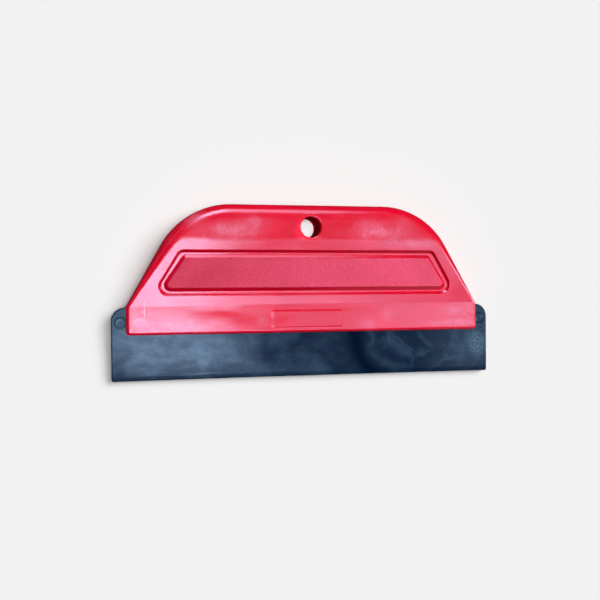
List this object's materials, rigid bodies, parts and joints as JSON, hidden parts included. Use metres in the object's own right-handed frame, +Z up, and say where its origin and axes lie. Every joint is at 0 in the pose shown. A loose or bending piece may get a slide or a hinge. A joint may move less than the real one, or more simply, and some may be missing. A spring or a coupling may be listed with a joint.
{
  "type": "squeegee applicator",
  "caption": "Hand squeegee for applying film: a wedge-shaped glossy plastic handle with a hanging hole and a textured thumb panel, clamping one flexible dark rubber blade.",
  "frame": {"origin": "centre of the bounding box's base, on the surface that the tool lies on, on its back", "axes": "+X along the blade, +Y across the handle from the blade's working edge towards the hanging hole, +Z up out of the front face; the tool lies tilted by 4.3 degrees about X, on its rear grip and its rear lower edge"},
  "size_m": [0.2, 0.0882, 0.017],
  "materials": {
    "red_shell": "glossy injection-moulded red plastic, fine-grained on the thumb panel, light scuffs",
    "blade_rubber": "matte dark navy rubber with faint wipe marks",
    "screw_steel": "zinc-plated steel"
  },
  "bodies": {
    "handle": {"front_shell": "red_shell", "rear_shell": "red_shell", "blade_root": "blade_rubber", "shell_screws": "screw_steel"},
    "blade_tip": {"blade_lip": "blade_rubber"}
  },
  "joints": [
    {"name": "blade_flex", "type": "hinge", "parent": "handle", "child": "blade_tip", "pos_m": [0, -0.02447, 0.00422], "axis": [1, 0, 0], "range_deg": [-30, 30], "stiffness_Nm_per_rad": 0.3}
  ]
}
